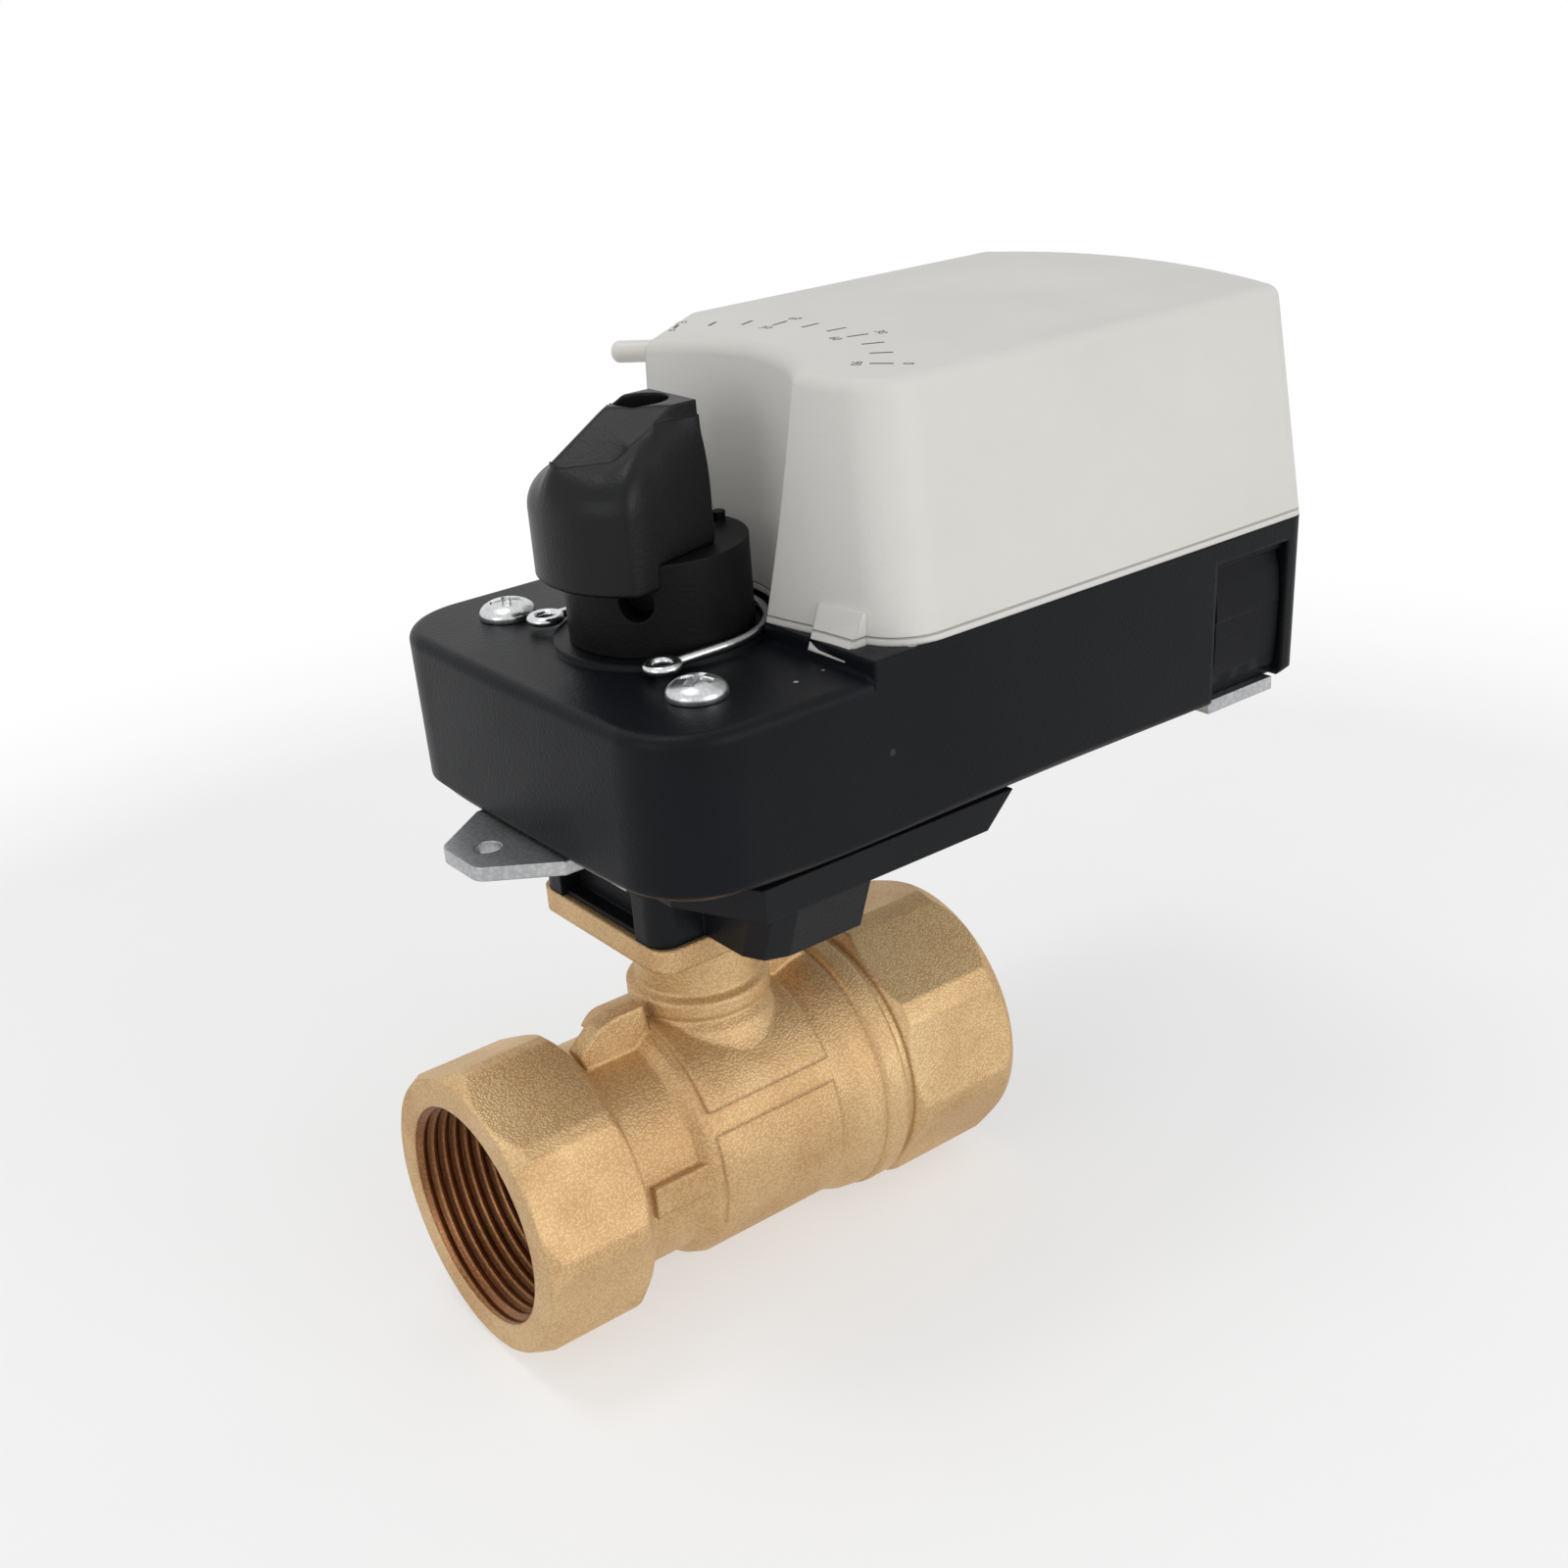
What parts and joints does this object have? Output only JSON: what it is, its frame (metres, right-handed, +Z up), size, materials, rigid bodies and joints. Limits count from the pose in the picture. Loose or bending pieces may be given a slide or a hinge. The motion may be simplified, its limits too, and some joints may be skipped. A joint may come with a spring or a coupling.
{
  "type": "motorized ball valve",
  "caption": "Brass two-way ball valve with female threaded ports, turned by a rotary electric actuator with a pointer knob and a pale cover.",
  "frame": {"origin": "centre of the inlet port's face, on the flow axis", "axes": "+X along the flow from the inlet to the outlet, +Z up the valve's stem towards the actuator, +Y to the left of the flow"},
  "size_m": [0.1375, 0.073, 0.1352],
  "materials": {
    "valve_brass": "hot-pressed brass, matte as cast with turned ends",
    "connector_brass": "machined brass",
    "stem_brass": "turned brass",
    "ball_chrome": "hard chrome plated and polished",
    "ptfe_seat": "PTFE",
    "fibre_gasket": "fibre gasket",
    "seal_rubber": "EPDM O-rings",
    "pin_steel": "hardened steel pins",
    "adapter_black": "glass-filled black plastic",
    "zinc_screw": "zinc plated steel",
    "zinc_plate": "zinc plated sheet steel",
    "bush_bronze": "sintered bronze",
    "housing_black": "moulded black plastic, fine grained",
    "clip_black": "moulded black plastic",
    "cover_grey": "warm light grey moulded plastic",
    "wire_steel": "spring wire",
    "hub_black": "moulded black plastic, slightly glossy",
    "knob_black": "moulded black plastic",
    "screw_black": "black oxide steel",
    "gear_steel": "sintered steel",
    "gear_plastic": "natural acetal",
    "pinion_brass": "machined brass on a steel shaft",
    "motor_can": "zinc plated drawn can",
    "spacer_nylon": "nylon",
    "board_green": "green solder mask",
    "component_black": "moulded components",
    "terminal_green": "green terminal block",
    "cam_plastic": "red acetal",
    "release_white": "white plastic",
    "grommet_rubber": "black rubber"
  },
  "bodies": {
    "fixed": {"valve_body": "valve_brass", "end_connector": "connector_brass", "inlet_seat": "ptfe_seat", "outlet_seat": "ptfe_seat", "connector_gasket": "fibre_gasket", "thrust_washer": "ptfe_seat", "locating_pins": "pin_steel", "mounting_adapter": "adapter_black", "adapter_screws": "zinc_screw", "base_plate": "zinc_plate", "output_bush": "bush_bronze", "lower_housing": "housing_black", "rear_clip_left": "clip_black", "rear_clip_right": "clip_black", "top_cover": "cover_grey", "housing_screws": "zinc_screw", "retaining_clip": "wire_steel", "gear_arbors": "pin_steel", "gear_plate": "zinc_plate", "motor": "motor_can", "motor_screws": "zinc_screw", "board_spacers": "spacer_nylon", "circuit_board": "board_green", "board_components": "component_black", "terminal_block": "terminal_green", "limit_switches": "component_black", "cable_grommets": "grommet_rubber"},
    "output": {"ball": "ball_chrome", "valve_stem": "stem_brass", "stem_seals": "seal_rubber", "drive_hub": "hub_black", "position_knob": "knob_black", "knob_screw": "screw_black", "output_gear": "gear_steel", "switch_cam": "cam_plastic"},
    "first_gear_set": {"first_gear": "gear_plastic"},
    "second_gear_set": {"second_gear": "gear_plastic"},
    "motor_shaft": {"motor_pinion": "pinion_brass"},
    "release_button": {"gear_release": "release_white"}
  },
  "joints": [
    {"name": "stem_turn", "type": "hinge", "parent": "fixed", "child": "output", "pos_m": [0.042, 0, 0], "axis": [0, 0, 1], "range_deg": [-45, 45]},
    {"name": "first_gear_spin", "type": "hinge", "parent": "fixed", "child": "first_gear_set", "pos_m": [0.07, 0, 0.06], "axis": [0, 0, 1], "range_deg": [-165.1, 165.1]},
    {"name": "second_gear_spin", "type": "hinge", "parent": "fixed", "child": "second_gear_set", "pos_m": [0.08732, -0.01, 0.066], "axis": [0, 0, 1], "range_deg": [-660.1, 660.1]},
    {"name": "motor_spin", "type": "hinge", "parent": "fixed", "child": "motor_shaft", "pos_m": [0.09683, 0, 0.072], "axis": [0, 0, 1], "range_deg": [-2376.1, 2376.1]},
    {"name": "release_push", "type": "slide", "parent": "fixed", "child": "release_button", "axis": [0.6449, -0.7643, 0], "range_m": [0, 0.0025], "stiffness_N_per_m": 200, "springref_m": -0.001}
  ],
  "couplings": [
    {"joint": "first_gear_spin", "follows": "stem_turn", "ratio": -3.6667},
    {"joint": "second_gear_spin", "follows": "stem_turn", "ratio": 14.667},
    {"joint": "motor_spin", "follows": "stem_turn", "ratio": -52.8}
  ]
}
